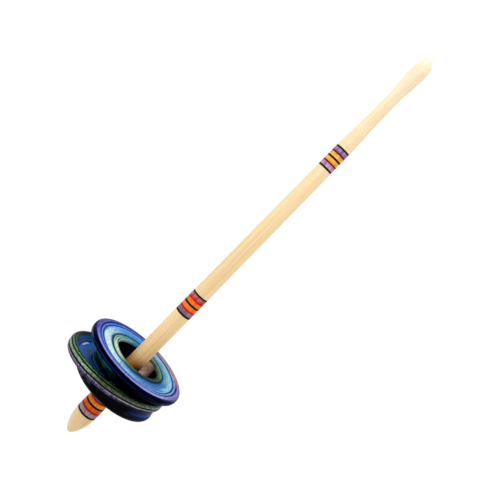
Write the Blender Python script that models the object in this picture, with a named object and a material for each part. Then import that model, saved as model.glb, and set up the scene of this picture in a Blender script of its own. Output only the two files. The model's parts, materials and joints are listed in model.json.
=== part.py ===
"""Bottom-whorl drop spindle, turned from maple and dyed laminated wood.

The spindle lies on a table, resting on the rim of its top flange and on the bulb at its thin
end. Every piece is modelled around its own turning axis, local +Z from the foot to the bulb,
and two empties carry them: spindle_axis for the shaft, and tilted_axis for the middle flange,
which was turned on a second, leaning axis. Units are metres.
"""

import math

import bmesh
import bpy
from mathutils import Matrix, Vector

MM = 0.001

# Stations are distances from the tip of the foot along the spindle's axis.
UPPER_END = 269.8 * MM
BULB_RADIUS = 4.45 * MM
BULB_STATION = 260.2 * MM

# Each band is nine dyed plies: black, outer, red, orange, black, orange, red, outer, black.
BLACK_PLY = 0.8 * MM
OUTER_PLY = 2.48 * MM
RED_PLY = 0.65 * MM
ORANGE_PLY = 2.45 * MM
BAND_CENTRES = {"band_1": 21.44 * MM, "band_2": 93.85 * MM, "band_3": 198.58 * MM}

# The whorl: a top flange with a bowl, a leaning middle flange and a base flange.
TOP_RADIUS = 29.4 * MM
TOP_RIM_STATION = 52.2 * MM
NECK_RADIUS = 19.0 * MM
BOWL_RADIUS = 13.65 * MM
LAND_STATION = 53.25 * MM
LIP_STATION = 53.75 * MM
MIDDLE_RADIUS = 29.9 * MM
MIDDLE_STATION = 41.2 * MM
MIDDLE_OFFSET = 3.6 * MM
MIDDLE_LEAN_SIDE = math.radians(5.8)
MIDDLE_LEAN_BACK = math.radians(3.8)
MIDDLE_UPPER_FACE = -0.6 * MM
MIDDLE_LOWER_FACE = -3.0 * MM
BASE_RADIUS = 25.5 * MM
BASE_RIM_STATION = 35.7 * MM
BASE_HUB_STATION = 30.2 * MM
SHOULDER_STATION = 29.9 * MM

# Joints: each maple piece ends in a tenon that runs through the ring-shaped plies of a band
# into a socket in the next piece. A glue gap keeps neighbours apart.
GAP = 0.3 * MM
TENON_RADIUS = 1.8 * MM
TENON_REACH = 6.0 * MM
SEAT_RADIUS = 4.6 * MM
SEAT_END = 55.3 * MM

WHORL_SEGMENTS = 48
SHAFT_SEGMENTS = 24

# The outer surface of the whole shaft, as (station, radius) in millimetres.
SHAFT_PROFILE = [
    (11.0, 5.6),
    (14.7, 5.9),
    (17.5, 5.9),
    (SHOULDER_STATION / MM, 5.6),
    (SEAT_END / MM, SEAT_RADIUS / MM),
    (93.9, 4.66),
    (112.0, 4.5),
    (150.0, 4.4),
    (173.0, 4.3),
    (198.6, 4.14),
    (206.8, 4.14),
    (214.3, 3.9),
    (225.0, 3.45),
    (240.0, 3.25),
    (245.5, 3.4),
    (252.6, 4.1),
    (BULB_STATION / MM, BULB_RADIUS / MM),
]

MAPLE = (0.84, 0.70, 0.48)
BLACK = (0.01, 0.01, 0.012)
PLY_COLOURS = {
    "band_1": {
        "lower_outer": (0.45, 0.36, 0.36),
        "lower_red": (0.22, 0.01, 0.008),
        "lower_orange": (0.75, 0.12, 0.02),
        "upper_orange": (0.75, 0.25, 0.02),
        "upper_red": (0.25, 0.01, 0.008),
        "upper_outer": (0.40, 0.11, 0.12),
    },
    "band_2": {
        "lower_outer": (0.30, 0.25, 0.27),
        "lower_red": (0.42, 0.03, 0.01),
        "lower_orange": (0.85, 0.22, 0.03),
        "upper_orange": (0.83, 0.20, 0.02),
        "upper_red": (0.46, 0.01, 0.01),
        "upper_outer": (0.35, 0.08, 0.10),
    },
    "band_3": {
        "lower_outer": (0.26, 0.15, 0.25),
        "lower_red": (0.10, 0.008, 0.008),
        "lower_orange": (0.85, 0.42, 0.05),
        "upper_orange": (0.72, 0.24, 0.06),
        "upper_red": (0.08, 0.01, 0.015),
        "upper_outer": (0.14, 0.07, 0.18),
    },
}
WHORL_COLOURS = {
    "whorl_top_flange": (0.08, 0.17, 0.55),
    "whorl_middle_flange": (0.02, 0.10, 0.30),
    "whorl_base_flange": (0.01, 0.02, 0.10),
}


def clear_scene():
    for obj in list(bpy.data.objects):
        bpy.data.objects.remove(obj, do_unlink=True)


def wood_material(name, colour, roughness):
    material = bpy.data.materials.new(name)
    material.use_nodes = True
    shader = material.node_tree.nodes["Principled BSDF"]
    shader.inputs["Base Color"].default_value = (*colour, 1.0)
    shader.inputs["Roughness"].default_value = roughness
    shader.inputs["Metallic"].default_value = 0.0
    return material


def axis_empty(name, parent=None):
    empty = bpy.data.objects.new(name, None)
    bpy.context.scene.collection.objects.link(empty)
    empty.parent = parent
    return empty


def arc(centre, radius, start, end, steps):
    """Points of a circle in the outline's (radius, station) plane, angles in degrees."""
    points = []
    for step in range(steps + 1):
        angle = math.radians(start + (end - start) * step / steps)
        points.append(
            (centre[0] + radius * math.cos(angle), centre[1] + radius * math.sin(angle))
        )
    return points


def sweep(start, start_pull, end_pull, end, steps):
    """Points of a cubic curve from start to end, drawn towards the two pull points."""
    points = []
    for step in range(steps + 1):
        t = step / steps
        weights = ((1 - t) ** 3, 3 * t * (1 - t) ** 2, 3 * t * t * (1 - t), t**3)
        corners = (start, start_pull, end_pull, end)
        points.append(
            tuple(sum(w * c[i] for w, c in zip(weights, corners)) for i in range(2))
        )
    return points


def in_metres(points):
    return [(radius * MM, station * MM) for radius, station in points]


def turned(name, outline, segments, parent, material):
    """Spins a closed outline of (radius, station) points once round local Z."""
    bm = bmesh.new()
    half_step = Matrix.Rotation(math.pi / segments, 3, "Z")
    corners = [bm.verts.new(half_step @ Vector((r, 0, z))) for r, z in outline]
    edges = [
        bm.edges.new((a, b)) for a, b in zip(corners, corners[1:] + corners[:1]) if not
        (a.co.xy.length < 1e-9 and b.co.xy.length < 1e-9)
    ]
    bmesh.ops.spin(
        bm,
        geom=corners + edges,
        axis=(0, 0, 1),
        cent=(0, 0, 0),
        steps=segments,
        angle=2 * math.pi,
        use_merge=True,
    )
    bmesh.ops.remove_doubles(bm, verts=bm.verts, dist=1e-7)
    bmesh.ops.recalc_face_normals(bm, faces=bm.faces)
    mesh = bpy.data.meshes.new(name)
    bm.to_mesh(mesh)
    bm.free()
    mesh.shade_smooth()
    mesh.set_sharp_from_angle(angle=math.radians(35))
    mesh.materials.append(material)
    obj = bpy.data.objects.new(name, mesh)
    bpy.context.scene.collection.objects.link(obj)
    obj.parent = parent
    return obj


def cutter(name, outline, parent):
    obj = turned(name, outline, WHORL_SEGMENTS, parent, wood_material(name, BLACK, 0.5))
    obj.hide_render = True
    obj.display_type = "WIRE"
    return obj


def cut(obj, tool):
    modifier = obj.modifiers.new("cut_" + tool.name, "BOOLEAN")
    modifier.operation = "DIFFERENCE"
    modifier.solver = "EXACT"
    modifier.object = tool


def shaft_radius(station):
    """The shaft's radius at a station, eased from each profile point to the next."""
    at = station / MM
    points = SHAFT_PROFILE
    if at <= points[0][0]:
        return points[0][1] * MM
    for (z0, r0), (z1, r1) in zip(points, points[1:]):
        if at <= z1:
            t = (at - z0) / (z1 - z0)
            return (r0 + (r1 - r0) * t * t * (3 - 2 * t)) * MM
    return points[-1][1] * MM


def shaft_surface(low, high, steps):
    """Outer points of the shaft from one station to a higher one."""
    stations = [low + (high - low) * step / steps for step in range(steps + 1)]
    return [(shaft_radius(station), station) for station in stations]


def band_ends(band):
    half = 1.5 * BLACK_PLY + OUTER_PLY + RED_PLY + ORANGE_PLY
    return BAND_CENTRES[band] - half, BAND_CENTRES[band] + half


def socket_outline(face):
    """The blind hole in a piece's lower end that takes the tenon below it."""
    radius = TENON_RADIUS + GAP
    return [(0, face + TENON_REACH + GAP), (radius, face + TENON_REACH + GAP), (radius, face)]


def tenon_outline(band):
    """The round tongue on a piece's upper end, through the band and into the next piece."""
    low, high = band_ends(band)
    return [(TENON_RADIUS, low), (TENON_RADIUS, high + TENON_REACH), (0, high + TENON_REACH)]


def make_foot(parent, material):
    face = band_ends("band_1")[0]
    tip = in_metres(sweep((0, 0), (1.9, 0), (4.9, 5.6), SHAFT_PROFILE[0][::-1], 9))
    outline = tip + [(shaft_radius(face), face)] + tenon_outline("band_1")
    return turned("foot", outline, SHAFT_SEGMENTS, parent, material)


def make_lower_shaft(parent, material):
    """The piece that carries the whorl: a shoulder below it, then a thinner seat through it."""
    low = band_ends("band_1")[1] + GAP
    high = band_ends("band_2")[0]
    shoulder = shaft_surface(low, SHOULDER_STATION, 1)
    seat = [(SEAT_RADIUS, SHOULDER_STATION)]
    above = shaft_surface(SEAT_END, high, 4)
    outline = socket_outline(low) + shoulder + seat + above + tenon_outline("band_2")
    return turned("lower_shaft", outline, SHAFT_SEGMENTS, parent, material)


def make_middle_shaft(parent, material):
    low = band_ends("band_2")[1] + GAP
    surface = shaft_surface(low, band_ends("band_3")[0], 10)
    outline = socket_outline(low) + surface + tenon_outline("band_3")
    return turned("middle_shaft", outline, SHAFT_SEGMENTS, parent, material)


def make_upper_shaft(parent, material):
    """The thin end: a long waist for the yarn's half hitch, then a bulb that holds it."""
    low = band_ends("band_3")[1] + GAP
    surface = shaft_surface(low, BULB_STATION, 16)
    end = sweep(
        (BULB_RADIUS, BULB_STATION),
        (BULB_RADIUS, 264.8 * MM),
        (2.6 * MM, UPPER_END),
        (0, UPPER_END),
        7,
    )
    outline = socket_outline(low) + surface + end[1:]
    return turned("upper_shaft", outline, SHAFT_SEGMENTS, parent, material)


def make_ply(name, low, high, colour, parent):
    """One ring of dyed veneer, held off its neighbours by the glue gap."""
    inner = TENON_RADIUS + GAP
    low = low + GAP
    outline = [
        (inner, low),
        (shaft_radius(low), low),
        (shaft_radius(high), high),
        (inner, high),
    ]
    material = wood_material(name, colour, 0.4)
    return turned(name, outline, SHAFT_SEGMENTS, parent, material)


def make_band(band, parent):
    colours = PLY_COLOURS[band]
    plies = [
        ("lower_black", BLACK_PLY),
        ("lower_outer", OUTER_PLY),
        ("lower_red", RED_PLY),
        ("lower_orange", ORANGE_PLY),
        ("centre_black", BLACK_PLY),
        ("upper_orange", ORANGE_PLY),
        ("upper_red", RED_PLY),
        ("upper_outer", OUTER_PLY),
        ("upper_black", BLACK_PLY),
    ]
    station = band_ends(band)[0]
    made = []
    for ply, thickness in plies:
        colour = colours.get(ply, BLACK)
        made.append(make_ply(f"{band}_{ply}", station, station + thickness, colour, parent))
        station += thickness
    return made


def make_top_flange(parent, tilted):
    """Dished face with a raised lip round the bowl, a rounded rim, and a cove under the rim."""
    bore = SEAT_RADIUS + GAP
    bowl = [(bore, MIDDLE_STATION - 10 * MM), (bore, 43.5 * MM)]
    bowl += in_metres(sweep((6.5, 43.5), (11.0, 43.5), (13.4, 45.0), (13.5, 48.6), 5))
    lip = arc((BOWL_RADIUS + 0.6 * MM, LIP_STATION - 0.6 * MM), 0.6 * MM, 180, 90, 2)
    land = [(16.0 * MM, LAND_STATION), (22.5 * MM, LAND_STATION)]
    rim = in_metres(sweep((26.0, 53.9), (28.0, 54.4), (29.4, 53.75), (29.4, 52.2), 5))
    rim += in_metres([(29.2, 50.8)])
    cove = in_metres(sweep((28.1, 50.0), (22.0, 49.7), (19.0, 47.7), (19.0, 44.8), 5))
    neck = [(NECK_RADIUS, MIDDLE_STATION - 10 * MM)]
    material = wood_material("whorl_top_flange", WHORL_COLOURS["whorl_top_flange"], 0.25)
    outline = bowl + lip + land + rim + cove + neck
    flange = turned("whorl_top_flange", outline, WHORL_SEGMENTS, parent, material)
    reach, depth = 45 * MM, 30 * MM
    seat = MIDDLE_UPPER_FACE + GAP
    below = [(0, seat), (reach, seat), (reach, seat - depth), (0, seat - depth)]
    cut(flange, cutter("cut_below_top_flange", below, tilted))
    return flange


def middle_lower_edge(grow):
    """The middle flange's underside and lower shoulder, out to its widest point."""
    face = MIDDLE_LOWER_FACE - grow
    shoulder = sweep(
        (27.2 * MM, face),
        (29.0 * MM, face),
        (MIDDLE_RADIUS + grow, -2.2 * MM),
        (MIDDLE_RADIUS + grow, 0),
        4,
    )
    return [(0, face)] + shoulder


def make_middle_flange(parent, tilted):
    """Turned on the leaning axis, with a dished upper face and a bore along the shaft."""
    upper = in_metres(sweep((29.9, 0.6), (29.9, 2.2), (29.0, 2.9), (27.7, 2.8), 4))
    upper += in_metres([(26.3, 1.7), (24.7, -0.2), (23.6, MIDDLE_UPPER_FACE / MM)])
    outline = middle_lower_edge(0) + upper + [(0, MIDDLE_UPPER_FACE)]
    material = wood_material("whorl_middle_flange", WHORL_COLOURS["whorl_middle_flange"], 0.2)
    flange = turned("whorl_middle_flange", outline, WHORL_SEGMENTS, tilted, material)
    bore, low, high = SEAT_RADIUS + GAP, 30 * MM, 60 * MM
    drill = [(0, low), (bore, low), (bore, high), (0, high)]
    cut(flange, cutter("cut_middle_bore", drill, parent))
    return flange


def make_base_flange(parent, tilted):
    """The drum under the middle flange, hollowed a little between its rim and that flange."""
    bore = SEAT_RADIUS + GAP
    rim = BASE_RADIUS / MM
    rim_z = BASE_RIM_STATION / MM
    under = in_metres(sweep((9.0, 30.2), (16.0, 31.1), (23.6, 33.2), (24.9, 34.6), 4))
    edge = in_metres([(rim, rim_z), (rim - 0.3, rim_z + 1.1)])
    wall = in_metres(sweep((25.0, 37.6), (24.8, 38.6), (24.8, 40.0), (25.0, 44.5), 4))
    outline = [(bore, 44.5 * MM), (bore, BASE_HUB_STATION)] + under + edge + wall
    material = wood_material("whorl_base_flange", WHORL_COLOURS["whorl_base_flange"], 0.25)
    flange = turned("whorl_base_flange", outline, WHORL_SEGMENTS, parent, material)
    depth = 30 * MM
    above = middle_lower_edge(GAP) + [(MIDDLE_RADIUS + GAP, depth), (0, depth)]
    cut(flange, cutter("cut_above_base_flange", above, tilted))
    return flange


def lay_on_table(spindle, pieces):
    """Leans the spindle onto its rim and its bulb, and centres its box over the origin."""
    drop = TOP_RADIUS - BULB_RADIUS
    lean = math.asin(drop / (BULB_STATION - TOP_RIM_STATION))
    spindle.rotation_euler = (0, math.pi / 2 + lean, 0)
    bpy.context.view_layer.update()
    graph = bpy.context.evaluated_depsgraph_get()
    corners = []
    for piece in pieces:
        evaluated = piece.evaluated_get(graph)
        corners += [piece.matrix_world @ v.co for v in evaluated.data.vertices]
    low = Vector([min(c[i] for c in corners) for i in range(3)])
    high = Vector([max(c[i] for c in corners) for i in range(3)])
    middle = (low + high) / 2
    spindle.location = (-middle.x, -middle.y, -low.z)


def main():
    clear_scene()
    spindle = axis_empty("spindle_axis")
    tilted = axis_empty("tilted_axis", spindle)
    tilted.location = (0, MIDDLE_OFFSET, MIDDLE_STATION)
    tilted.rotation_euler = (-MIDDLE_LEAN_SIDE, MIDDLE_LEAN_BACK, 0)
    maple = wood_material("maple", MAPLE, 0.45)
    pieces = [
        make_foot(spindle, maple),
        make_lower_shaft(spindle, maple),
        make_middle_shaft(spindle, maple),
        make_upper_shaft(spindle, maple),
    ]
    for band in BAND_CENTRES:
        pieces += make_band(band, spindle)
    pieces.append(make_top_flange(spindle, tilted))
    pieces.append(make_middle_flange(spindle, tilted))
    pieces.append(make_base_flange(spindle, tilted))
    lay_on_table(spindle, pieces)


main()
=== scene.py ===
"""Looks of the drop spindle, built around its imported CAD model.

Every piece is modelled round its own turning axis, local +Z from the foot to the thin end, and
is laid in the row frame by one matrix for the shaft's axis or one for the leaning flange's axis.
Outlines and dyes are in millimetres, and the matrices and the stage are in metres.
"""

import json
import math

import bmesh
import bpy
from mathutils import Matrix, Vector


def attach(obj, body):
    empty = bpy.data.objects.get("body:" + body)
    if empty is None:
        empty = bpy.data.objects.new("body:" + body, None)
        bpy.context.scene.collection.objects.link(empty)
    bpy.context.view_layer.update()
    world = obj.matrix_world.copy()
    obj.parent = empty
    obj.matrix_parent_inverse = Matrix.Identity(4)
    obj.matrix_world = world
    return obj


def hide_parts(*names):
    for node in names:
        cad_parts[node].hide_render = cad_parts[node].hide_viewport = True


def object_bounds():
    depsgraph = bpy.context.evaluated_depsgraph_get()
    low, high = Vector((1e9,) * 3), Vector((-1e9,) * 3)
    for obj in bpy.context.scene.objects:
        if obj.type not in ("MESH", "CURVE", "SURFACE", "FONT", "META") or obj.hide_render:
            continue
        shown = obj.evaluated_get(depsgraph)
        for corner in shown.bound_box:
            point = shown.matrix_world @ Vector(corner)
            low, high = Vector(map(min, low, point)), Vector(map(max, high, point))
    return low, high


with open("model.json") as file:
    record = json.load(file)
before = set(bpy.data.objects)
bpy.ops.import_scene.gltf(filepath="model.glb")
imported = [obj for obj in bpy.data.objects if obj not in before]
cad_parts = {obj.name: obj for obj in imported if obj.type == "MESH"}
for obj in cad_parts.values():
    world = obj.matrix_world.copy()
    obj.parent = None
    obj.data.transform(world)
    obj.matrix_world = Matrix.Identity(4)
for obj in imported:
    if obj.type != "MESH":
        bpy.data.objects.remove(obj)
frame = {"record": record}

CAD_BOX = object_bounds()
MM = 0.001

# ---------------------------------------------------------------- the spindle's own frame
LAND_STATION = 53.25 * MM
LAND_RADIUS = 19.0 * MM
MOUNTS = {mount["name"]: mount for mount in frame["record"]["mounts"]}
AXIS = Vector(MOUNTS["cop_land"]["axis"]).normalized()
SIDE = Vector((0, 1, 0))
UNDER = SIDE.cross(AXIS)
FOOT_TIP = Vector(MOUNTS["cop_land"]["pos_m"]) + UNDER * LAND_RADIUS - AXIS * LAND_STATION
SPINDLE = Matrix.Translation(FOOT_TIP) @ Matrix((UNDER, SIDE, AXIS)).transposed().to_4x4()

# The middle flange was turned on a second axis, off centre and leaning.
MIDDLE_OFFSET = 3.6 * MM
MIDDLE_STATION = 41.2 * MM
LEAN_SIDE = math.radians(5.8)
LEAN_BACK = math.radians(3.8)
TILTED = (
    SPINDLE
    @ Matrix.Translation((0, MIDDLE_OFFSET, MIDDLE_STATION))
    @ Matrix.Rotation(LEAN_BACK, 4, "Y")
    @ Matrix.Rotation(-LEAN_SIDE, 4, "X")
)

# ---------------------------------------------------------------- sizes, in millimetres
SEAT_RADIUS = 4.6
SEAT_END = 55.3
SHOULDER_STATION = 29.9
BULB_RADIUS = 4.41
BULB_STATION = 260.2
UPPER_END = 269.8
TENON_RADIUS = 1.8
TENON_REACH = 6.0
GLUE_LINE = 0.02
# The pointed ends stop just short of the CAD's, to stay inside its box.
FOOT_INSET = 0.006
THIN_END_INSET = 0.015
BLACK_PLY = 0.8
OUTER_PLY = 2.48
RED_PLY = 0.65
ORANGE_PLY = 2.45
HALF_BAND = 1.5 * BLACK_PLY + OUTER_PLY + RED_PLY + ORANGE_PLY
BAND_CENTRES = {"band_1": 21.44, "band_2": 93.85, "band_3": 198.58}
# The shaft's (station, radius) points, from the end of the foot's point to the bulb.
SHAFT_PROFILE = [
    (11.0, 5.6),
    (14.7, 5.9),
    (17.5, 5.9),
    (SHOULDER_STATION, 5.6),
    (SEAT_END, SEAT_RADIUS),
    (93.9, 4.66),
    (112.0, 4.5),
    (150.0, 4.4),
    (173.0, 4.3),
    (198.6, 4.14),
    (206.8, 4.14),
    (214.3, 3.9),
    (225.0, 3.45),
    (240.0, 3.25),
    (245.5, 3.4),
    (252.6, 4.1),
    (BULB_STATION, BULB_RADIUS),
]
# The CAD's rims are facetted, so the smooth rims stay on the flats of its facets.
TOP_RIM = 29.33
MIDDLE_RIM = 29.81
BASE_RIM = 25.44
# The leaning flange's two faces, along its own axis.
MIDDLE_FACE = -0.6
MIDDLE_UNDER = -3.0
SHAFT_SEGMENTS = 96
WHORL_SEGMENTS = 192
SHARP_EDGE = math.radians(40)


# ---------------------------------------------------------------- outlines, in millimetres
def arc(centre, radius, start, end, steps):
    """Points of a circle in the outline's (radius, station) plane, angles in degrees."""
    points = []
    for step in range(steps + 1):
        angle = math.radians(start + (end - start) * step / steps)
        points.append(
            (centre[0] + radius * math.cos(angle), centre[1] + radius * math.sin(angle))
        )
    return points


def sweep(start, start_pull, end_pull, end, steps):
    """Points of a cubic curve from start to end, drawn towards the two pull points."""
    points = []
    for step in range(steps + 1):
        t = step / steps
        weights = ((1 - t) ** 3, 3 * t * (1 - t) ** 2, 3 * t * t * (1 - t), t**3)
        corners = (start, start_pull, end_pull, end)
        points.append(
            tuple(sum(w * c[i] for w, c in zip(weights, corners)) for i in range(2))
        )
    return points


def shaft_radius(station):
    """The shaft's radius at a station, eased from each profile point to the next."""
    points = SHAFT_PROFILE
    for (z0, r0), (z1, r1) in zip(points, points[1:]):
        if station <= z1:
            t = (station - z0) / (z1 - z0)
            return r0 + (r1 - r0) * t * t * (3 - 2 * t)
    return points[-1][1]


def shaft_surface(low, high, steps):
    stations = [low + (high - low) * step / steps for step in range(steps + 1)]
    return [(shaft_radius(station), station) for station in stations]


def band_ends(band):
    return BAND_CENTRES[band] - HALF_BAND, BAND_CENTRES[band] + HALF_BAND


def socket_outline(face):
    radius = TENON_RADIUS + GLUE_LINE
    floor = face + TENON_REACH + GLUE_LINE
    return [(0, floor), (radius, floor), (radius, face)]


def tenon_outline(band):
    low, high = band_ends(band)
    return [(TENON_RADIUS, low), (TENON_RADIUS, high + TENON_REACH), (0, high + TENON_REACH)]


# ---------------------------------------------------------------- turning a mesh
def turned(name, outline, segments, matrix, marks=None):
    """One closed mesh: the outline of (radius, station) points spun round the turning axis.

    Attribute "turned" keeps each vertex's place on the lathe, and marks, kept as "ply",
    gives each outline point's place in the veneer stack. Both are in millimetres.
    """
    bm = bmesh.new()
    ply = bm.verts.layers.float.new("ply")
    lathe = bm.verts.layers.float_vector.new("turned")
    rings = []
    for index, (radius, station) in enumerate(outline):
        count = 1 if radius < 1e-6 else segments
        ring = []
        for step in range(count):
            angle = 2 * math.pi * step / segments
            spot = Vector((radius * math.cos(angle), radius * math.sin(angle), station))
            vert = bm.verts.new(matrix @ (spot * MM))
            vert[ply] = marks[index] if marks else 0.0
            vert[lathe] = spot
            ring.append(vert)
        rings.append(ring)
    for low, high in zip(rings, rings[1:] + rings[:1]):
        if len(low) == 1 and len(high) == 1:
            continue
        for step in range(segments):
            corners = []
            for ring, at in ((low, step), (low, step + 1), (high, step + 1), (high, step)):
                vert = ring[at % len(ring)]
                if vert not in corners:
                    corners.append(vert)
            bm.faces.new(corners)
    bmesh.ops.recalc_face_normals(bm, faces=bm.faces)
    mesh = bpy.data.meshes.new(name)
    bm.to_mesh(mesh)
    bm.free()
    mesh.shade_smooth()
    mesh.set_sharp_from_angle(angle=SHARP_EDGE)
    obj = bpy.data.objects.new(name, mesh)
    bpy.context.scene.collection.objects.link(obj)
    return obj


def place(obj, material, slot, *nodes):
    """Gives the piece its material, and stands it in for the CAD nodes that it replaces."""
    obj.data.materials.append(material)
    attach(obj, "root")
    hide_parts(*nodes)


# ---------------------------------------------------------------- node helpers
def linear(code):
    """A colour written as six hex digits, as the linear values that a shader takes."""
    channels = [int(code[i : i + 2], 16) / 255 for i in (0, 2, 4)]
    return tuple(
        c / 12.92 if c <= 0.04045 else ((c + 0.055) / 1.055) ** 2.4 for c in channels
    ) + (1.0,)


# A colour ramp holds no more stops than this.
MOST_STOPS = 32


class Nodes:
    """A material's node tree, with short calls for the nodes used here."""

    def __init__(self, name):
        self.material = bpy.data.materials.new(name)
        self.material.use_nodes = True
        self.tree = self.material.node_tree
        self.shader = self.tree.nodes["Principled BSDF"]
        turned_at = self.tree.nodes.new("ShaderNodeAttribute")
        turned_at.attribute_name = "turned"
        self.coords = turned_at.outputs["Vector"]

    def link(self, output, target):
        self.tree.links.new(output, target)

    def attribute(self, name):
        node = self.tree.nodes.new("ShaderNodeAttribute")
        node.attribute_name = name
        return node.outputs["Fac"]

    def noise(self, scale, detail=3.0, roughness=0.55):
        """Noise stretched by a scale per axis, in cycles per millimetre."""
        mapping = self.tree.nodes.new("ShaderNodeMapping")
        mapping.inputs["Scale"].default_value = scale
        self.link(self.coords, mapping.inputs["Vector"])
        node = self.tree.nodes.new("ShaderNodeTexNoise")
        node.inputs["Scale"].default_value = 1.0
        node.inputs["Detail"].default_value = detail
        node.inputs["Roughness"].default_value = roughness
        self.link(mapping.outputs["Vector"], node.inputs["Vector"])
        return node.outputs["Fac"]

    def maths(self, operation, a, b=None, clamp=False):
        """One Math node; each operand may be an output or a number."""
        node = self.tree.nodes.new("ShaderNodeMath")
        node.operation = operation
        node.use_clamp = clamp
        for socket, value in zip(node.inputs, (a, b)):
            if value is None:
                continue
            if isinstance(value, (int, float)):
                socket.default_value = value
            else:
                self.link(value, socket)
        return node.outputs["Value"]

    def spread(self, value, low, high, out_low=0.0, out_high=1.0):
        """The value mapped in a straight line from one range to another, and held at its ends."""
        node = self.tree.nodes.new("ShaderNodeMapRange")
        node.inputs["From Min"].default_value = low
        node.inputs["From Max"].default_value = high
        node.inputs["To Min"].default_value = out_low
        node.inputs["To Max"].default_value = out_high
        self.link(value, node.inputs["Value"])
        return node.outputs["Result"]

    def ramp(self, value, stops):
        """A colour for each value, from (place, hex colour) stops with places from 0 to 1."""
        node = self.tree.nodes.new("ShaderNodeValToRGB")
        node.color_ramp.interpolation = "LINEAR"
        elements = node.color_ramp.elements
        elements[0].position, elements[0].color = stops[0][0], linear(stops[0][1])
        elements[1].position, elements[1].color = stops[-1][0], linear(stops[-1][1])
        for place_at, code in stops[1:-1]:
            elements.new(place_at).color = linear(code)
        self.link(value, node.inputs["Fac"])
        return node.outputs["Color"]

    def layers(self, value, stops):
        """A colour from (place in mm, hex colour) stops: one ramp, or several end to end."""
        colour = None
        for first in range(0, len(stops) - 1, MOST_STOPS - 1):
            group = stops[first : first + MOST_STOPS]
            low, high = group[0][0], group[-1][0]
            places = [((at - low) / (high - low), code) for at, code in group]
            tone = self.ramp(self.spread(value, low, high), places)
            if colour is None:
                colour = tone
            else:
                colour = self.mix("MIX", self.maths("GREATER_THAN", value, low), colour, tone)
        return colour

    def mix(self, kind, factor, a, b):
        """Two colours mixed; either may be an output or a hex colour."""
        node = self.tree.nodes.new("ShaderNodeMix")
        node.data_type = "RGBA"
        node.blend_type = kind
        sockets = (node.inputs["Factor"], node.inputs[6], node.inputs[7])
        for socket, value in zip(sockets, (factor, a, b)):
            if isinstance(value, str):
                socket.default_value = linear(value)
            elif isinstance(value, (int, float)):
                socket.default_value = value
            else:
                self.link(value, socket)
        return node.outputs[2]

    def part(self, axis):
        """One coordinate on the lathe, in millimetres."""
        node = self.tree.nodes.new("ShaderNodeSeparateXYZ")
        self.link(self.coords, node.inputs["Vector"])
        return node.outputs[axis]

    def bump(self, height, distance, strength):
        """Relief under the shading, with the distance in metres."""
        node = self.tree.nodes.new("ShaderNodeBump")
        node.inputs["Strength"].default_value = strength
        node.inputs["Distance"].default_value = distance
        self.link(height, node.inputs["Height"])
        self.link(node.outputs["Normal"], self.shader.inputs["Normal"])

    def finish(self, colour, roughness, specular, coat=0.0, coat_roughness=0.1):
        """Sets the shader, whose roughness may be an output or a number."""
        self.link(colour, self.shader.inputs["Base Color"])
        self.shader.inputs["Specular IOR Level"].default_value = specular
        if isinstance(roughness, (int, float)):
            self.shader.inputs["Roughness"].default_value = roughness
        else:
            self.link(roughness, self.shader.inputs["Roughness"])
        self.shader.inputs["Coat Weight"].default_value = coat
        self.shader.inputs["Coat Roughness"].default_value = coat_roughness
        return self.material


# ---------------------------------------------------------------- materials
# Maple from the foot, at 0, to the thin end, at 1.
MAPLE_STOPS = [
    (0.0, "E8CFA2"),
    (0.10, "E6C897"),
    (0.15, "D89A4C"),
    (0.19, "DC9E54"),
    (0.205, "E2BE84"),
    (0.235, "EECE9A"),
    (0.28, "F2D8A8"),
    (0.4, "F2DAAC"),
    (0.7, "F2DCB0"),
    (0.85, "F0DEBA"),
    (1.0, "F8EAD0"),
]
# How far the dark of a joint soaks in: beside a glue line, a black ply and a whole band.
GLUE_STAIN = 0.12
BLACK_STAIN = 0.36
WOOD_STAIN = 0.32
# The wood's stain lies this much nearer the foot than the band does.
STAIN_SHIFT = 0.14
# The maple's grain multiplies its colour.
GRAIN_STOPS = [(0.30, "E6D6BE"), (0.45, "F8F0E6"), (0.58, "FFFFFF"), (0.72, "EEE0CA")]


def maple_material():
    """Pale maple, paler towards the thin end: long fine fibres, growth rings, short pores, and
    painted shade on its -Y side inside the bowl.
    """
    nodes = Nodes("maple")
    fibres = nodes.noise((0.9, 0.9, 0.014), detail=5)
    rings = nodes.noise((0.16, 0.06, 0.0035), detail=2)
    drift = nodes.spread(nodes.noise((0.03, 0.03, 0.02), detail=2), 0.3, 0.7, -0.012, 0.012)
    along = nodes.maths("ADD", nodes.spread(nodes.part("Z"), 0.0, UPPER_END), drift)
    tone = nodes.ramp(along, MAPLE_STOPS)
    figure = nodes.maths(
        "ADD", nodes.maths("MULTIPLY", fibres, 0.45), nodes.maths("MULTIPLY", rings, 0.55)
    )
    grain = nodes.ramp(figure, GRAIN_STOPS)
    tone = nodes.mix("MULTIPLY", 1.0, tone, grain)
    height = nodes.part("Z")
    beside = [
        nodes.maths("ABSOLUTE", nodes.maths("SUBTRACT", height, centre - STAIN_SHIFT))
        for centre in BAND_CENTRES.values()
    ]
    nearest = nodes.maths("MINIMUM", nodes.maths("MINIMUM", beside[0], beside[1]), beside[2])
    stain = nodes.spread(nearest, HALF_BAND, HALF_BAND + WOOD_STAIN, 0.95, 0.0)
    tone = nodes.mix("MIX", stain, tone, "120A08")
    # Painted shade: the shaft darkened on its -Y side where it sits down in the whorl's bowl.
    bowl_shade = product(
        nodes,
        nodes.spread(height, 36.0, 38.0),
        nodes.spread(height, 57.0, 50.0),
        nodes.spread(nodes.part("Y"), 2.0, -2.0),
    )
    tone = nodes.mix("MULTIPLY", bowl_shade, tone, "684E3C")
    pores = nodes.noise((2.6, 2.6, 0.16), detail=2)
    pore = nodes.spread(pores, 0.64, 0.74, 0.0, 0.4)
    colour = nodes.mix("MULTIPLY", pore, tone, "C29A68")
    nodes.bump(fibres, 0.00008, 0.5)
    roughness = nodes.spread(fibres, 0.3, 0.7, 0.38, 0.52)
    return nodes.finish(colour, roughness, specular=0.35)


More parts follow.
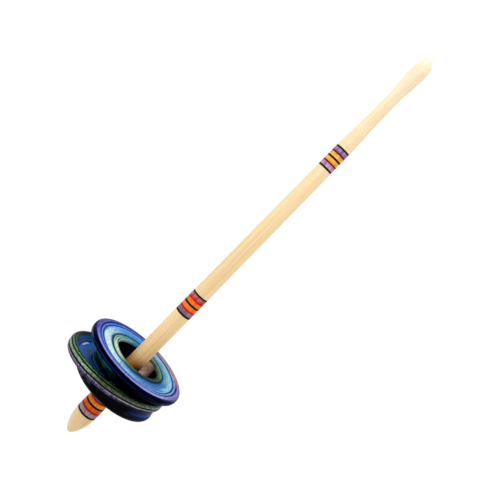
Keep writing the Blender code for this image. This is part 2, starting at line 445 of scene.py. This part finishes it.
def veneer_material(name, low, high, stains, first, second, streak):
    """A dyed ply between dark glue lines: its tone turns along the axis, with streaks of dye."""
    nodes = Nodes(name)
    height = nodes.part("Z")
    fibres = nodes.noise((1.6, 1.6, 0.09), detail=4)
    waver = nodes.spread(fibres, 0.3, 0.7, -0.5, 0.5)
    shift = nodes.maths("ADD", nodes.spread(height, low, high), waver)
    tone = nodes.ramp(shift, [(0.0, first), (1.0, second)])
    streaks = nodes.noise((0.8, 0.8, 0.06), detail=3)
    tone = nodes.mix("MIX", nodes.spread(streaks, 0.5, 0.66, 0.0, 0.8), tone, streak)
    strands = nodes.noise((2.8, 2.8, 0.12), detail=2)
    tone = nodes.mix("MULTIPLY", nodes.spread(strands, 0.5, 0.68, 0.0, 0.5), tone, "80685C")
    edge = nodes.maths(
        "ADD",
        nodes.spread(height, low, low + stains[0], 1.0, 0.0),
        nodes.spread(height, high - stains[1], high, 0.0, 1.0),
    )
    colour = nodes.mix("MIX", edge, tone, "120605")
    nodes.bump(fibres, 0.00005, 0.4)
    return nodes.finish(colour, 0.38, specular=0.04)


def black_material():
    """The black veneer that all the bands share."""
    nodes = Nodes("black_veneer")
    fibres = nodes.noise((1.5, 1.5, 0.09), detail=4)
    colour = nodes.ramp(fibres, [(0.35, "050404"), (0.7, "100D0C")])
    nodes.bump(fibres, 0.00005, 0.4)
    return nodes.finish(colour, 0.35, specular=0.04)


# How far the plies wander from their places in the stack.
WAVER = 0.2


def stack_colour(nodes, near, far, split, lean=0.0, mottle=0.4):
    """Thin dyed veneers, cut through by turning. Attribute ply is the place in the stack.

    near and far are (place in mm, hex colour) stops for the disc's +Y and -Y sides, and split
    holds the two Y values where one gives way to the other. lean tips the stack along X, and
    mottle breaks up the border between the sides. The result is the tone and the place in it.
    """
    place_in = nodes.attribute("ply")
    place_in = nodes.maths("ADD", place_in, nodes.maths("MULTIPLY", nodes.part("X"), lean))
    swell = nodes.spread(nodes.noise((0.07, 0.07, 0.07), detail=2), 0.3, 0.7, -WAVER, WAVER)
    ripple = nodes.noise((0.5, 0.5, 0.5), detail=3)
    ripple = nodes.spread(ripple, 0.3, 0.7, -0.3 * WAVER, 0.3 * WAVER)
    place_in = nodes.maths("ADD", nodes.maths("ADD", place_in, swell), ripple)
    cloud = nodes.noise((0.13, 0.17, 0.17), detail=4, roughness=0.6)
    side = nodes.spread(nodes.part("Y"), split[0], split[1], 1.0, 0.0)
    cloud = nodes.spread(cloud, 0.3, 0.7, -mottle, mottle)
    side = nodes.maths("ADD", side, cloud, clamp=True)
    tone = nodes.mix("MIX", side, nodes.layers(place_in, near), nodes.layers(place_in, far))
    return tone, place_in


def laminate_finish(nodes, tone, coat):
    """Dark and pale fibres over the dyes, under a gloss lacquer."""
    fibres = nodes.noise((0.22, 1.9, 1.9), detail=4)
    dark = nodes.mix("MULTIPLY", nodes.spread(fibres, 0.5, 0.72, 0.0, 0.6), tone, "38405C")
    flecks = nodes.noise((0.35, 2.6, 1.3), detail=3)
    light = nodes.spread(flecks, 0.6, 0.76, 0.0, 0.45)
    colour = nodes.mix("SOFT_LIGHT", light, dark, "E8F0FF")
    nodes.bump(fibres, 0.00004, 0.35)
    return nodes.finish(colour, 0.32, specular=0.01, coat=coat, coat_roughness=0.05)


def product(nodes, *factors):
    """Masks and numbers multiplied together."""
    result = factors[0]
    for factor in factors[1:]:
        result = nodes.maths("MULTIPLY", result, factor)
    return result


def facing(nodes, along_x, along_y):
    """How far a point lies in one direction across the whorl, in millimetres."""
    x = nodes.maths("MULTIPLY", nodes.part("X"), along_x)
    y = nodes.maths("MULTIPLY", nodes.part("Y"), along_y)
    return nodes.maths("ADD", x, y)


def top_material():
    """Blue rim, pale ring and green lip, with painted highlights on the ring, lip and crest and
    painted shade on the rim's -X edge and the neck; the bowl's wall is painted black as shade but
    for one pale lit patch.
    """
    nodes = Nodes("top_laminate")
    tone, place_in = stack_colour(nodes, TOP_NEAR, TOP_FAR, (-13.0, 13.0), lean=-0.025)
    x, y, ply = nodes.part("X"), nodes.part("Y"), nodes.attribute("ply")
    ring = nodes.spread(place_in, 22.4, 22.9, 1.0, 0.0)
    outside_lip = nodes.spread(place_in, 18.3, 19.0)
    # Painted highlight: the sky-blue ring paled towards the front +Y side.
    towards = facing(nodes, -0.62, 0.78)
    pale = product(nodes, ring, outside_lip, nodes.spread(towards, 16.0, 19.5), 0.75)
    tone = nodes.mix("MIX", pale, tone, "CEE4E6")
    away = facing(nodes, -0.75, -0.66)
    deep = product(
        nodes, nodes.spread(place_in, 20.2, 21.0, 1.0, 0.0), nodes.spread(away, 10.5, 15.0), 0.9
    )
    tone = nodes.mix("MULTIPLY", deep, tone, "64ACF4")
    outer = product(
        nodes, nodes.spread(place_in, 20.2, 21.0), ring, nodes.spread(away, 17.0, 20.5), 0.9
    )
    tone = nodes.mix("MULTIPLY", outer, tone, "5490EC")
    dark_lip = product(
        nodes,
        nodes.spread(place_in, 13.0, 13.4),
        nodes.spread(place_in, 17.0, 17.6, 1.0, 0.0),
        nodes.spread(away, 7.5, 10.5),
        0.75,
    )
    tone = nodes.mix("MULTIPLY", dark_lip, tone, "68887C")
    behind = product(nodes, ring, nodes.spread(x, 3.0, 13.0), nodes.spread(y, -5.0, 3.0))
    tone = nodes.mix("MULTIPLY", behind, tone, "6CB0E8")
    # Painted shade: the rim's outer edge darkened on the -X side.
    rim_shade = product(nodes, nodes.spread(ply, 28.0, 28.4), nodes.spread(x, -6.0, -19.0))
    tone = nodes.mix("MULTIPLY", rim_shade, tone, "2C3878")
    # Painted highlight: a pale lavender line along the crest on the -X side.
    rim_highlight = product(
        nodes,
        nodes.spread(ply, 26.8, 27.1),
        nodes.spread(ply, 27.7, 28.0, 1.0, 0.0),
        nodes.spread(x, -9.0, -18.0),
        0.8,
    )
    tone = nodes.mix("MIX", rim_highlight, tone, "A4B0FA")
    # Painted highlight: the green lip paled on the front +Y side, in line with the ring's.
    lip_highlight = product(
        nodes,
        nodes.spread(place_in, 13.0, 13.4),
        nodes.spread(place_in, 16.2, 16.9, 1.0, 0.0),
        nodes.spread(towards, 13.2, 15.5),
        0.6,
    )
    tone = nodes.mix("MIX", lip_highlight, tone, "E0ECCC")
    brown = product(
        nodes,
        nodes.spread(place_in, 24.5, 25.4),
        nodes.spread(x, 5.0, 15.0),
        nodes.spread(y, -3.0, -8.0),
        0.9,
    )
    tone = nodes.mix("MIX", brown, tone, "AC8478")
    # Painted shade: the bowl's wall is made black. One pale patch on its far -Y side, where light
    # falls in beside the shaft, shows a paler ply brightened as painted light.
    wall = nodes.spread(ply, 12.9, 13.3, 1.0, 0.0)
    tone = nodes.mix("MIX", wall, tone, "08080F")
    lit_patch = product(
        nodes,
        wall,
        nodes.spread(x, 6.6, 9.6),
        nodes.spread(y, -3.0, -4.0),
        nodes.spread(y, -10.5, -6.5),
    )
    grain = nodes.noise((0.5, 0.5, 0.9), detail=4)
    lit_patch = nodes.maths("MULTIPLY", lit_patch, nodes.spread(grain, 0.3, 0.6, 0.65, 1.0))
    tone = nodes.mix("MIX", lit_patch, tone, "FCD8C4")
    # The cove's and neck's teal plies show only on the front +Y side; elsewhere they stay black as
    # painted shade.
    neck = product(
        nodes,
        nodes.spread(x, 6.0, -4.0),
        nodes.spread(ply, 31.4, 31.6),
        nodes.spread(ply, 45.6, 45.2),
        nodes.spread(y, 1.0, 12.0),
        nodes.spread(nodes.noise((0.25, 0.25, 1.1), detail=2), 0.4, 0.6, 0.15, 0.8),
    )
    tone = nodes.mix("MIX", neck, tone, "2C6C68")
    return laminate_finish(nodes, tone, 0.0)


def middle_material():
    """Blue dish with a dark groove and a painted white highlight inside it, a green crest browner
    towards -X, and lilac plies below it.
    """
    nodes = Nodes("middle_laminate")
    tone, place_in = stack_colour(nodes, MIDDLE_NEAR, MIDDLE_FAR, (-14.0, -4.0), mottle=0.2)
    x, y = nodes.part("X"), nodes.part("Y")
    crest = product(
        nodes, nodes.spread(place_in, 26.0, 27.0), nodes.spread(place_in, 31.3, 31.5, 1.0, 0.0)
    )
    brown = product(
        nodes, crest, nodes.spread(x, -14.0, -27.0), nodes.spread(y, 13.0, 3.0, 0.0, 0.85)
    )
    tone = nodes.mix("MULTIPLY", brown, tone, "74694F")
    patches = nodes.spread(nodes.noise((0.9, 0.9, 1.8), detail=3), 0.44, 0.6, 0.0, 0.75)
    tone = nodes.mix("MULTIPLY", product(nodes, crest, patches), tone, "44664C")
    behind = product(nodes, crest, nodes.spread(x, -9.0, 2.0), nodes.spread(y, 0.0, 8.0), 0.85)
    tone = nodes.mix("MULTIPLY", behind, tone, "18382C")
    # Painted highlight: a white crescent in the dish on the +Y side, just inside the dark groove.
    painted_glint = product(
        nodes,
        nodes.spread(place_in, 22.2, 22.4),
        nodes.spread(place_in, 23.1, 23.3, 1.0, 0.0),
        nodes.spread(x, -1.0, 0.5),
        nodes.spread(x, 6.0, 8.0, 1.0, 0.0),
        nodes.spread(y, 10.0, 14.0),
    )
    tone = nodes.mix("MIX", painted_glint, tone, "FFFFFF")
    strokes = nodes.spread(nodes.noise((1.3, 1.3, 0.12), detail=2), 0.5, 0.6)
    strokes = product(nodes, strokes, nodes.spread(place_in, 32.3, 32.5), 0.8)
    tone = nodes.mix("MULTIPLY", strokes, tone, "241C28")
    return laminate_finish(nodes, tone, 0.03)


def base_material():
    """Near black, blue towards -Y, with pale lavender strokes of painted highlight round the rim on
    the +Y side.
    """
    nodes = Nodes("base_laminate")
    tone, place_in = stack_colour(nodes, BASE_NEAR, BASE_FAR, (-26.0, -13.0), mottle=0.12)
    x, y = nodes.part("X"), nodes.part("Y")
    tone = nodes.mix("MULTIPLY", nodes.spread(y, -18.0, -13.0, 0.0, 0.85), tone, "2C2C48")
    # Painted highlight: pale lavender strokes round the rim on the +Y front side.
    highlight_strokes = product(
        nodes,
        nodes.spread(nodes.noise((1.6, 1.6, 0.2), detail=2), 0.48, 0.6),
        nodes.spread(y, 10.0, 18.0),
        nodes.spread(place_in, 18.0, 21.0),
        nodes.spread(place_in, 27.0, 24.5),
        nodes.spread(x, 2.0, -8.0),
        0.4,
    )
    tone = nodes.mix("MIX", highlight_strokes, tone, "9894A6")
    return laminate_finish(nodes, tone, 0.04)


# ---------------------------------------------------------------- shaft
def make_shaft(maple):
    """The four maple pieces, each with a tenon into the next one's socket."""
    face = band_ends("band_1")[0]
    start_station, start_radius = SHAFT_PROFILE[0]
    tip = sweep((0, FOOT_INSET), (1.9, 0), (4.9, 5.6), (start_radius, start_station), 28)
    foot = tip + shaft_surface(start_station, face, 8)[1:] + tenon_outline("band_1")
    place(turned("maple_foot", foot, SHAFT_SEGMENTS, SPINDLE), maple, "maple", "foot")

    low, high = band_ends("band_1")[1] + GLUE_LINE, band_ends("band_2")[0]
    lower = socket_outline(low) + shaft_surface(low, SHOULDER_STATION, 2)
    lower += [(SEAT_RADIUS, SHOULDER_STATION)] + shaft_surface(SEAT_END, high, 16)
    lower += tenon_outline("band_2")
    obj = turned("maple_lower_shaft", lower, SHAFT_SEGMENTS, SPINDLE)
    place(obj, maple, "maple", "lower_shaft")

    low, high = band_ends("band_2")[1] + GLUE_LINE, band_ends("band_3")[0]
    middle = socket_outline(low) + shaft_surface(low, high, 40) + tenon_outline("band_3")
    obj = turned("maple_middle_shaft", middle, SHAFT_SEGMENTS, SPINDLE)
    place(obj, maple, "maple", "middle_shaft")

    low = band_ends("band_3")[1] + GLUE_LINE
    last = UPPER_END - THIN_END_INSET
    end = sweep((BULB_RADIUS, BULB_STATION), (BULB_RADIUS, 264.8), (2.6, last), (0, last), 20)
    upper = socket_outline(low) + shaft_surface(low, BULB_STATION, 60) + end[1:]
    obj = turned("maple_upper_shaft", upper, SHAFT_SEGMENTS, SPINDLE)
    place(obj, maple, "maple", "upper_shaft")


# Each band's plies from the foot's side up: name and thickness.
PLIES = [
    ("lower_black", BLACK_PLY),
    ("lower_outer", OUTER_PLY),
    ("lower_red", RED_PLY),
    ("lower_orange", ORANGE_PLY),
    ("centre_black", BLACK_PLY),
    ("upper_orange", ORANGE_PLY),
    ("upper_red", RED_PLY),
    ("upper_outer", OUTER_PLY),
    ("upper_black", BLACK_PLY),
]
# How far the dark of the joints soaks into each ply, at its lower and its upper end.
STAINS = {
    "lower_outer": (GLUE_STAIN, GLUE_STAIN),
    "lower_red": (GLUE_STAIN, GLUE_STAIN),
    "lower_orange": (GLUE_STAIN, BLACK_STAIN),
    "upper_orange": (BLACK_STAIN, GLUE_STAIN),
    "upper_red": (GLUE_STAIN, GLUE_STAIN),
    "upper_outer": (GLUE_STAIN, BLACK_STAIN),
}
# Each dyed ply: its tone at the lower end, its tone at the upper end, and its streaks.
DYES = {
    "band_1": {
        "lower_outer": ("A8969A", "9C6C72", "6E5C68"),
        "lower_red": ("84180E", "901C10", "5C0A08"),
        "lower_orange": ("DC4C12", "E0661C", "C0380A"),
        "upper_orange": ("E4982A", "D04808", "F0B040"),
        "upper_red": ("900E06", "9C1208", "6C0604"),
        "upper_outer": ("C8606C", "A04E5E", "DC8890"),
    },
    "band_2": {
        "lower_outer": ("6C6874", "A44C60", "B8A0AC"),
        "lower_red": ("C42418", "CC2C1A", "981408"),
        "lower_orange": ("FC6C28", "EC8C30", "F05010"),
        "upper_orange": ("F0801C", "EC4C08", "F89830"),
        "upper_red": ("D01C14", "D82418", "A80E06"),
        "upper_outer": ("D82E36", "A87880", "8C2434"),
    },
    "band_3": {
        "lower_outer": ("C8A8C4", "B0709C", "7C5080"),
        "lower_red": ("581014", "681818", "380808"),
        "lower_orange": ("EC9038", "F8C858", "F4A02C"),
        "upper_orange": ("FCC458", "DC7840", "FCD068"),
        "upper_red": ("481414", "541818", "2C0A0C"),
        "upper_outer": ("985888", "A498C0", "684880"),
    },
}


def make_bands():
    """The 27 plies, each a ring round the tenon."""
    slots = {row["node"]: row["material_slot"] for row in frame["record"]["subparts"]}
    black = black_material()
    inner = TENON_RADIUS + GLUE_LINE
    for band, dyes in DYES.items():
        station = band_ends(band)[0]
        for ply, thickness in PLIES:
            node = f"{band}_{ply}"
            low, high = station + GLUE_LINE, station + thickness
            outline = [(inner, low), *shaft_surface(low, high, 3), (inner, high)]
            material = black
            if ply in dyes:
                material = veneer_material(node, low, high, STAINS[ply], *dyes[ply])
            obj = turned("veneer_" + node, outline, SHAFT_SEGMENTS, SPINDLE)
            place(obj, material, slots[node], node)
            station += thickness


# ---------------------------------------------------------------- whorl
def lengths(points, start):
    """Marks that grow with the distance along the points."""
    marks = [start]
    for (r0, z0), (r1, z1) in zip(points, points[1:]):
        marks.append(marks[-1] + math.hypot(r1 - r0, z1 - z0))
    return marks


def top_outline():
    """The top flange's outline and its marks: the radius on the face, then the path length."""
    bore = SEAT_RADIUS + GLUE_LINE
    floor = [(bore, 40.0), (bore, 43.5)]
    bowl = sweep((5.6, 43.5), (11.0, 43.5), (13.4, 45.0), (13.5, 48.6), 20)
    bowl += [(13.5, 52.6)]
    lip = arc((14.3, 53.05), 0.7, 180, 80, 8)
    dish = sweep((15.2, 53.5), (17.5, 53.2), (21.0, 53.1), (24.4, 53.55), 14)
    rim = sweep((25.4, 53.8), (28.2, 54.45), (TOP_RIM, 53.85), (TOP_RIM, 52.2), 18)
    edge = sweep((TOP_RIM, 51.8), (29.3, 51.2), (29.2, 50.6), (28.7, 50.3), 6)
    cove = sweep((28.0, 50.0), (22.0, 49.6), (19.3, 48.0), (19.0, 44.8), 24)
    neck = [(19.0, 43.5), (19.05, 42.0), (19.2, 38.0)]
    inside = lengths(bowl[::-1], 0.0)[::-1]
    inside_marks = [13.5 - mark for mark in inside]
    face = lip + dish
    face_marks = [radius for radius, _ in face]
    outside = rim + edge + cove + neck
    outside_marks = lengths(outside, rim[0][0])
    outline = floor + bowl + face + outside
    return outline, [inside_marks[0]] * 2 + inside_marks + face_marks + outside_marks


# Dyes from the bowl's floor out over the face, the rim and the cove, down to the neck.
# The bowl below 12.6 and the cove and neck from 31.5 to 45.4 are near black as painted shade over
# their plies.
# The pale blue line round 31 on the +Y side is partly a painted highlight on the rim's lower edge.
TOP_NEAR = [
    (-2.0, "08080F"),
    (12.6, "08080F"),
    (13.5, "B0C4B8"),
    (14.1, "98BCA8"),
    (14.3, "0C3824"),
    (14.8, "1C4C38"),
    (15.0, "A4D0B8"),
    (15.7, "98C8B8"),
    (15.75, "1C4838"),
    (16.1, "1C4838"),
    (16.25, "8CC0B0"),
    (16.8, "7CB0A0"),
    (17.05, "083038"),
    (18.1, "103C50"),
    (18.3, "3C7C88"),
    (18.8, "94BCC4"),
    (19.4, "ACCCDC"),
    (20.8, "A0C4D8"),
    (21.5, "B4D4E8"),
    (22.1, "A8CCF0"),
    (22.7, "84B4EC"),
    (23.1, "5C94E0"),
    (23.35, "3C6CC8"),
    (23.6, "08145C"),
    (24.1, "0A1866"),
    (24.3, "5080D0"),
    (25.0, "446CC4"),
    (25.35, "0C1870"),
    (26.0, "08104C"),
    (26.2, "3444A0"),
    (26.7, "5060BC"),
    (27.2, "4C58B0"),
    (27.4, "2C3498"),
    (27.7, "5058B0"),
    (28.2, "3C40A0"),
    (28.6, "20247C"),
    (29.0, "0C0C48"),
    (29.6, "06061C"),
    (29.9, "04040C"),
    (30.6, "04040A"),
    (30.8, "6C90CC"),
    (31.3, "5A78BC"),
    (31.5, "08080E"),
    (33.6, "060A10"),
    (40.0, "060C0E"),
    (44.5, "04070C"),
    (45.4, "060C10"),
    (45.9, "24483A"),
    (46.3, "06200F"),
    (46.9, "082818"),
    (47.1, "20463C"),
    (47.5, "10427C"),
    (49.5, "0E3C74"),
    (56.0, "0A2850"),
]
TOP_FAR = [
    (-2.0, "08080F"),
    (12.6, "08080F"),
    (13.5, "3C5044"),
    (13.9, "4C7058"),
    (14.6, "3C6048"),
    (14.8, "1C3C2C"),
    (15.0, "5C8C6C"),
    (15.9, "507C64"),
    (16.2, "04202C"),
    (17.0, "062C40"),
    (17.2, "2C6C90"),
    (18.3, "5090B8"),
    (19.4, "5898B0"),
    (20.6, "78ACBC"),
    (22.0, "8CB8CC"),
    (23.0, "7CACD0"),
    (23.4, "2C5C98"),
    (23.6, "062454"),
    (24.1, "0A2C64"),
    (24.3, "74A0DC"),
    (25.0, "7098D8"),
    (25.3, "141C60"),
    (26.0, "101450"),
    (26.3, "6864A4"),
    (26.7, "8880BC"),
    (27.3, "847CB4"),
    (27.5, "4C4480"),
    (27.8, "7C74AC"),
    (28.4, "6C6498"),
    (29.2, "403870"),
    (29.7, "141038"),
    (30.1, "04040C"),
    (30.9, "04040A"),
    (31.1, "4C5080"),
    (31.5, "3C4070"),
    (31.7, "06060C"),
    (33.6, "04040A"),
    (40.0, "04070A"),
    (45.6, "05070C"),
    (46.4, "0E1C28"),
    (47.0, "050A14"),
    (49.5, "081C40"),
    (56.0, "060E20"),
]
# The leaning flange, from its hub over the crest to its underside.
# The paler blue just outside the dark groove, at 24.35, is a painted highlight; the pale green
# strip just above the black ply, from 30.3 to 31.35, is partly a painted highlight on the crest's
# lower edge.
MIDDLE_NEAR = [
    (0.0, "1450A0"),
    (17.0, "1660B8"),
    (19.5, "1C74D8"),
    (22.6, "1E7CE0"),
    (23.5, "1660C0"),
    (23.8, "061448"),
    (24.2, "061448"),
    (24.35, "3C88E8"),
    (24.8, "1C68CC"),
    (25.8, "1858A4"),
    (26.5, "104070"),
    (26.85, "081C20"),
    (27.15, "0A2420"),
    (27.35, "3C7058"),
    (27.85, "4C7C54"),
    (28.0, "081A0E"),
    (28.6, "0A2010"),
    (28.75, "5C8C60"),
    (29.35, "6C9468"),
    (29.5, "0A1C0C"),
    (30.15, "0A1C0C"),
    (30.3, "90B488"),
    (30.8, "A0BC98"),
    (30.95, "6C8C68"),
    (31.1, "A0BC98"),
    (31.35, "A8C4A0"),
    (31.45, "040604"),
    (32.35, "040406"),
    (32.5, "948CA4"),
    (33.0, "847CA0"),
    (33.15, "3C3458"),
    (33.35, "605884"),
    (34.0, "4A4470"),
    (34.3, "201838"),
    (34.7, "0A0A18"),
    (36.0, "08081A"),
    (42.0, "060614"),
]
MIDDLE_FAR = [
    (0.0, "0E3A70"),
    (17.0, "0E3C7C"),
    (19.5, "144894"),
    (22.6, "144C9C"),
    (23.5, "0E3680"),
    (23.8, "040E34"),
    (24.2, "040E34"),
    (24.35, "2458A8"),
    (25.4, "0E3468"),
    (26.3, "0A2420"),
    (27.4, "061410"),
    (28.4, "030C08"),
    (29.6, "061410"),
    (29.85, "6C8C80"),
    (30.0, "4C6858"),
    (30.3, "3C5848"),
    (30.6, "8CA494"),
    (31.3, "94A898"),
    (31.5, "040604"),
    (32.2, "040406"),
    (32.35, "A098A8"),
    (32.9, "7C7490"),
    (33.1, "141020"),
    (33.6, "040408"),
    (42.0, "040406"),
]
# The base flange, from its hub under the rim and up its wall.
BASE_HUB = [
    (0.0, "0C0E22"),
    (9.0, "14122E"),
    (14.0, "0A0A14"),
    (17.0, "1C1640"),
    (18.6, "08080E"),
]
BASE_NEAR = BASE_HUB + [
    (19.6, "241C3C"),
    (20.4, "050508"),
    (21.2, "050508"),
    (21.7, "44444E"),
    (22.1, "0A0810"),
    (23.0, "120C1A"),
    (23.6, "040408"),
    (24.6, "141020"),
    (25.4, "080612"),
    (26.0, "100C1C"),
    (30.0, "05050C"),
]
# The brighter blue round 25.2 on the -Y side is partly a painted highlight in the hollow of the
# wall.
BASE_FAR = BASE_HUB + [
    (19.6, "241C48"),
    (20.4, "050508"),
    (21.4, "08080C"),
    (21.8, "484C54"),
    (22.2, "101218"),
    (23.0, "060A20"),
    (24.0, "081C48"),
    (24.8, "103484"),
    (25.2, "2454B4"),
    (25.6, "143C8C"),
    (26.4, "0C2C68"),
    (27.5, "0A2458"),
    (30.0, "061634"),
]


def middle_outline():
    """The leaning flange in its own frame, its upper face dished, with its marks."""
    face, under_face = MIDDLE_FACE, MIDDLE_UNDER
    upper = sweep((14.0, face), (20.0, face), (22.5, face), (24.0, face + 0.1), 14)
    upper += sweep((24.3, face + 0.35), (25.0, 0.6), (26.2, 2.3), (27.2, 2.72), 12)
    crest = sweep((27.7, 2.82), (29.0, 2.9), (MIDDLE_RIM, 2.1), (MIDDLE_RIM, 0.6), 14)
    under = sweep((MIDDLE_RIM, 0.0), (MIDDLE_RIM, -2.1), (29.0, under_face), (27.2, under_face), 14)
    outer = crest + under
    marks = [radius for radius, _ in upper] + lengths(outer, 27.7)
    outline = [(0, face)] + upper + outer + [(9.0, under_face), (0, under_face)]
    return outline, [0.0] + marks + [marks[-1] + 6.0, marks[-1] + 8.0]


def base_outline():
    """The base flange's outline and its marks: the path length from the bore outwards."""
    bore = SEAT_RADIUS + GLUE_LINE
    under = sweep((9.0, 30.2), (16.0, 31.1), (23.6, 33.2), (24.9, 34.6), 20)
    edge = sweep((25.2, 35.1), (BASE_RIM, 35.5), (BASE_RIM, 36.2), (25.3, 36.8), 8)
    wall = sweep((25.1, 37.4), (24.8, 38.6), (24.8, 40.0), (25.0, 44.5), 16)
    outer = [(bore, 30.2)] + under + edge + wall
    return [(bore, 44.5)] + outer, [0.0] + lengths(outer, 0.0)


def carve(obj, outline, segments, matrix, mark):
    """Cuts a turned shape away from the object, whose cut edge takes the ply mark."""
    tool = turned("carver", outline, segments, matrix, [mark] * len(outline))
    cut = obj.modifiers.new("carve", "BOOLEAN")
    cut.operation = "DIFFERENCE"
    cut.solver = "EXACT"
    cut.object = tool
    graph = bpy.context.evaluated_depsgraph_get()
    mesh = bpy.data.meshes.new_from_object(obj.evaluated_get(graph))
    obj.modifiers.clear()
    obj.data = mesh
    bpy.data.objects.remove(tool)


# The marks of the cut faces: the neck's foot, the middle flange's bore and the drum's top.
TOP_CUT_MARK = 50.0
BORE_MARK = 5.0
BASE_CUT_MARK = 27.0


def make_flanges():
    """The three flanges, each cut to the shape of the next along their glue faces."""
    outline, marks = top_outline()
    top = turned("laminate_top_flange", outline, WHORL_SEGMENTS, SPINDLE, marks)
    seat = MIDDLE_FACE + GLUE_LINE
    below = [(0, seat), (45, seat), (45, -30), (0, -30)]
    carve(top, below, WHORL_SEGMENTS, TILTED, TOP_CUT_MARK)
    place(top, top_material(), "blue_laminate", "whorl_top_flange")

    outline, marks = middle_outline()
    middle = turned("laminate_middle_flange", outline, WHORL_SEGMENTS, TILTED, marks)
    bore = SEAT_RADIUS + GLUE_LINE
    drill = [(0, 25), (bore, 25), (bore, 60), (0, 60)]
    carve(middle, drill, SHAFT_SEGMENTS, SPINDLE, BORE_MARK)
    place(middle, middle_material(), "blue_green_laminate", "whorl_middle_flange")

    outline, marks = base_outline()
    base = turned("laminate_base_flange", outline, WHORL_SEGMENTS, SPINDLE, marks)
    face, rim = MIDDLE_UNDER - GLUE_LINE, MIDDLE_RIM + GLUE_LINE
    shape = sweep((27.2, face), (29.0, face), (rim, -2.1), (rim, 0.0), 14)
    above = [(0, face)] + shape + [(rim, 30), (0, 30)]
    carve(base, above, WHORL_SEGMENTS, TILTED, BASE_CUT_MARK)
    place(base, base_material(), "navy_laminate", "whorl_base_flange")


# ---------------------------------------------------------------- stage
CAMERA_DISTANCE = 316.6 * MM
CAMERA_STATION = 171.86 * MM
CAMERA_SIDE = -1.11 * MM
CAMERA_LEAN = math.radians(1.933)
CAMERA_YAW = math.radians(-0.853)
AXIS_ANGLE = math.radians(45.638)
FOCAL_LENGTH = 44.25
SENSOR_WIDTH = 36
# The picture is an off-centre piece of a larger one, so the lens is shifted.
LENS_SHIFT = (-0.056, -0.0884)
CLIP_RANGE = (0.01, 10)
FLOOR_HALF_WIDTH = 3.0
FLOOR_GREY = 0.08
# The floor glows, so that it is as even and pale as a studio sweep.
FLOOR_GLOW = 0.96
WORLD_STRENGTH = 0.74
WHITE = (1, 1, 1, 1)
# Each light: name, place, target, size and energy, in metres and watts.
LIGHTS = [
    ("key", (-0.05, 0.75, 0.8), (0, 0, 0.02), 0.3, 3.1),
    ("end", (0.75, 0.15, 0.25), (-0.08, 0, 0.05), 0.3, 2.6),
    ("fill", (0.1, -0.8, 0.3), (0, 0, 0.02), 0.4, 1.2),
]


def make_camera():
    """Above the table, rolled so that the shaft runs to the upper right."""
    eye = FOOT_TIP + AXIS * CAMERA_STATION - UNDER * CAMERA_DISTANCE + SIDE * CAMERA_SIDE
    ahead = UNDER * math.cos(CAMERA_LEAN) - AXIS * math.sin(CAMERA_LEAN)
    along = AXIS * math.cos(CAMERA_LEAN) + UNDER * math.sin(CAMERA_LEAN)
    towards = ahead * math.cos(CAMERA_YAW) - SIDE * math.sin(CAMERA_YAW)
    across = -SIDE * math.cos(CAMERA_YAW) - ahead * math.sin(CAMERA_YAW)
    right = along * math.cos(AXIS_ANGLE) + across * math.sin(AXIS_ANGLE)
    up = along * math.sin(AXIS_ANGLE) - across * math.cos(AXIS_ANGLE)
    data = bpy.data.cameras.new("camera")
    data.lens = FOCAL_LENGTH
    data.shift_x, data.shift_y = LENS_SHIFT
    data.sensor_width = SENSOR_WIDTH
    data.sensor_fit = "HORIZONTAL"
    data.clip_start, data.clip_end = CLIP_RANGE
    camera = bpy.data.objects.new("camera", data)
    bpy.context.scene.collection.objects.link(camera)
    turn = Matrix((right, up, -towards)).transposed().to_4x4()
    camera.matrix_world = Matrix.Translation(eye) @ turn
    bpy.context.scene.camera = camera


def make_floor():
    bm = bmesh.new()
    bmesh.ops.create_grid(bm, x_segments=2, y_segments=2, size=FLOOR_HALF_WIDTH)
    mesh = bpy.data.meshes.new("floor")
    bm.to_mesh(mesh)
    bm.free()
    floor = bpy.data.objects.new("floor", mesh)
    floor.location = (0, 0, CAD_BOX[0].z)
    bpy.context.scene.collection.objects.link(floor)
    material = bpy.data.materials.new("floor")
    material.use_nodes = True
    shader = material.node_tree.nodes["Principled BSDF"]
    shader.inputs["Base Color"].default_value = (FLOOR_GREY, FLOOR_GREY, FLOOR_GREY, 1)
    shader.inputs["Roughness"].default_value = 0.9
    shader.inputs["Specular IOR Level"].default_value = 0.0
    shader.inputs["Emission Color"].default_value = WHITE
    shader.inputs["Emission Strength"].default_value = FLOOR_GLOW
    mesh.materials.append(material)


def make_light(name, place_at, target, size, energy):
    data = bpy.data.lights.new(name, "AREA")
    data.shape = "DISK"
    data.size = size
    data.energy = energy
    light = bpy.data.objects.new(name, data)
    light.location = place_at
    light.rotation_euler = (Vector(target) - Vector(place_at)).to_track_quat("-Z", "Y").to_euler()
    bpy.context.scene.collection.objects.link(light)


def make_lights():
    world = bpy.data.worlds.new("studio")
    world.use_nodes = True
    background = world.node_tree.nodes["Background"]
    background.inputs["Color"].default_value = WHITE
    background.inputs["Strength"].default_value = WORLD_STRENGTH
    bpy.context.scene.world = world
    for settings in LIGHTS:
        make_light(*settings)


def main():
    bpy.context.scene.view_settings.view_transform = "Standard"
    make_shaft(maple_material())
    make_bands()
    make_flanges()
    make_camera()
    make_floor()
    make_lights()


main()
